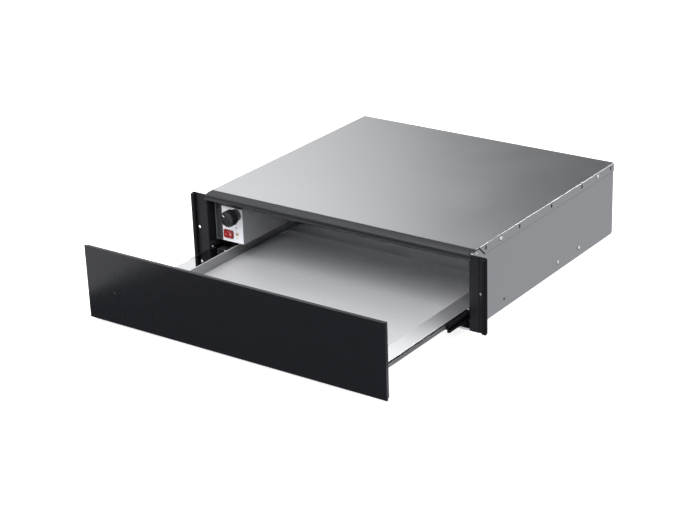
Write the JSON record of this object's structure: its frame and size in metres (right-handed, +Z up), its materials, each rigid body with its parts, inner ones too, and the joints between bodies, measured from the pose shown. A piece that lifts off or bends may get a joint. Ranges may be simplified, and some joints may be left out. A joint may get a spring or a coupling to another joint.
{
  "type": "built-in warming drawer",
  "caption": "Built-in warming drawer: steel housing, dark glass front without a handle, brushed tray on telescopic slides, dial and rocker switch inside, fan heater behind.",
  "frame": {"origin": "housing's underside, midway across, below the front edge of the steel top", "axes": "X across to the right seen from the front, Y to the back of the niche, Z up"},
  "size_m": [0.6, 0.7812, 0.136],
  "materials": {
    "galvanised": "galvanised, satin",
    "black_paint": "satin black",
    "black_seal": "matt",
    "zinc": "zinc plated",
    "screw_steel": "bright",
    "tray_steel": "fine brushed",
    "polished_steel": "polished rim",
    "white_label": "printed label",
    "black_plastic": "satin",
    "red_plastic": "gloss",
    "dark_red_plastic": "gloss",
    "lamp_lens": "translucent",
    "clear_plastic": "clear",
    "black_glass": "black backed",
    "white_plastic": "satin",
    "wire_cover": "woven sleeve",
    "heater_steel": "annealed",
    "aluminium": "plain",
    "motor_steel": "dark grey"
  },
  "bodies": {
    "housing": {"base_pan": "galvanised", "side_panel_left": "galvanised", "side_panel_right": "galvanised", "top_cover": "galvanised", "rear_panel": "galvanised", "side_trim_left": "black_paint", "side_trim_right": "black_paint", "trim_seal_left": "black_seal", "trim_seal_right": "black_seal", "top_rail": "black_paint", "cover_screws": "screw_steel", "slide_screws": "screw_steel", "trim_rivets": "screw_steel", "control_box": "galvanised", "control_label": "white_label", "box_screws": "screw_steel", "thermostat_body": "black_plastic", "switch_body": "dark_red_plastic", "pilot_lamp": "lamp_lens", "rear_baffle": "galvanised", "ceiling_liner": "galvanised", "fan_shroud": "galvanised", "heater_ring": "heater_steel", "fan_motor": "motor_steel", "latch_body": "black_plastic", "cable_gland": "black_plastic", "terminal_block": "white_plastic", "control_loom": "wire_cover", "loom_grommet": "black_seal", "motor_lead": "wire_cover", "sensor_bulb": "heater_steel", "thermal_cutout": "white_plastic", "slide_fixed_left": "zinc", "slide_fixed_right": "zinc", "slide_clip_left": "black_paint", "slide_clip_right": "black_paint"},
    "drawer": {"front_glass": "black_glass", "front_carrier": "black_paint", "light_window": "clear_plastic", "tray_front_wall": "tray_steel", "tray_floor": "tray_steel", "tray_back": "tray_steel", "drawer_side_left": "polished_steel", "drawer_side_right": "polished_steel", "front_bracket_left": "zinc", "front_bracket_right": "zinc", "rim_screws": "screw_steel", "latch_striker": "zinc", "slide_inner_left": "zinc", "slide_inner_right": "zinc"},
    "left_slide": {"slide_middle_left": "black_paint"},
    "right_slide": {"slide_middle_right": "black_paint"},
    "left_cage": {"slide_cage_left": "black_plastic"},
    "right_cage": {"slide_cage_right": "black_plastic"},
    "dial": {"thermostat_dial": "black_plastic", "thermostat_shaft": "screw_steel"},
    "rocker": {"switch_rocker": "red_plastic"},
    "plunger": {"latch_plunger": "white_plastic"},
    "fan": {"fan_impeller": "aluminium", "fan_shaft": "screw_steel"}
  },
  "joints": [
    {"name": "drawer_slide", "type": "slide", "parent": "housing", "child": "drawer", "axis": [0, -1, 0], "range_m": [-0.263, 0.16]},
    {"name": "left_slide_travel", "type": "slide", "parent": "housing", "child": "left_slide", "axis": [0, -1, 0], "range_m": [-0.132, 0.0805]},
    {"name": "right_slide_travel", "type": "slide", "parent": "housing", "child": "right_slide", "axis": [0, -1, 0], "range_m": [-0.132, 0.0805]},
    {"name": "left_cage_travel", "type": "slide", "parent": "housing", "child": "left_cage", "axis": [0, -1, 0], "range_m": [-0.066, 0.0405]},
    {"name": "right_cage_travel", "type": "slide", "parent": "housing", "child": "right_cage", "axis": [0, -1, 0], "range_m": [-0.066, 0.0405]},
    {"name": "dial_turn", "type": "hinge", "parent": "housing", "child": "dial", "pos_m": [-0.2165, -0.015, 0.1], "axis": [0, 1, 0], "range_deg": [-90, 180]},
    {"name": "rocker_tip", "type": "hinge", "parent": "housing", "child": "rocker", "pos_m": [-0.237, 0.001, 0.0599], "axis": [0, 0, 1], "range_deg": [-20, 0]},
    {"name": "plunger_press", "type": "slide", "parent": "housing", "child": "plunger", "axis": [0, 1, 0], "range_m": [0, 0.0035], "stiffness_N_per_m": 300, "springref_m": -0.004},
    {"name": "fan_spin", "type": "hinge", "parent": "housing", "child": "fan", "pos_m": [0.092, 0.432, 0.074], "axis": [0, 1, 0], "continuous": true}
  ],
  "couplings": [
    {"joint": "left_slide_travel", "follows": "drawer_slide", "ratio": 0.5},
    {"joint": "right_slide_travel", "follows": "drawer_slide", "ratio": 0.5},
    {"joint": "left_cage_travel", "follows": "drawer_slide", "ratio": 0.25},
    {"joint": "right_cage_travel", "follows": "drawer_slide", "ratio": 0.25}
  ]
}
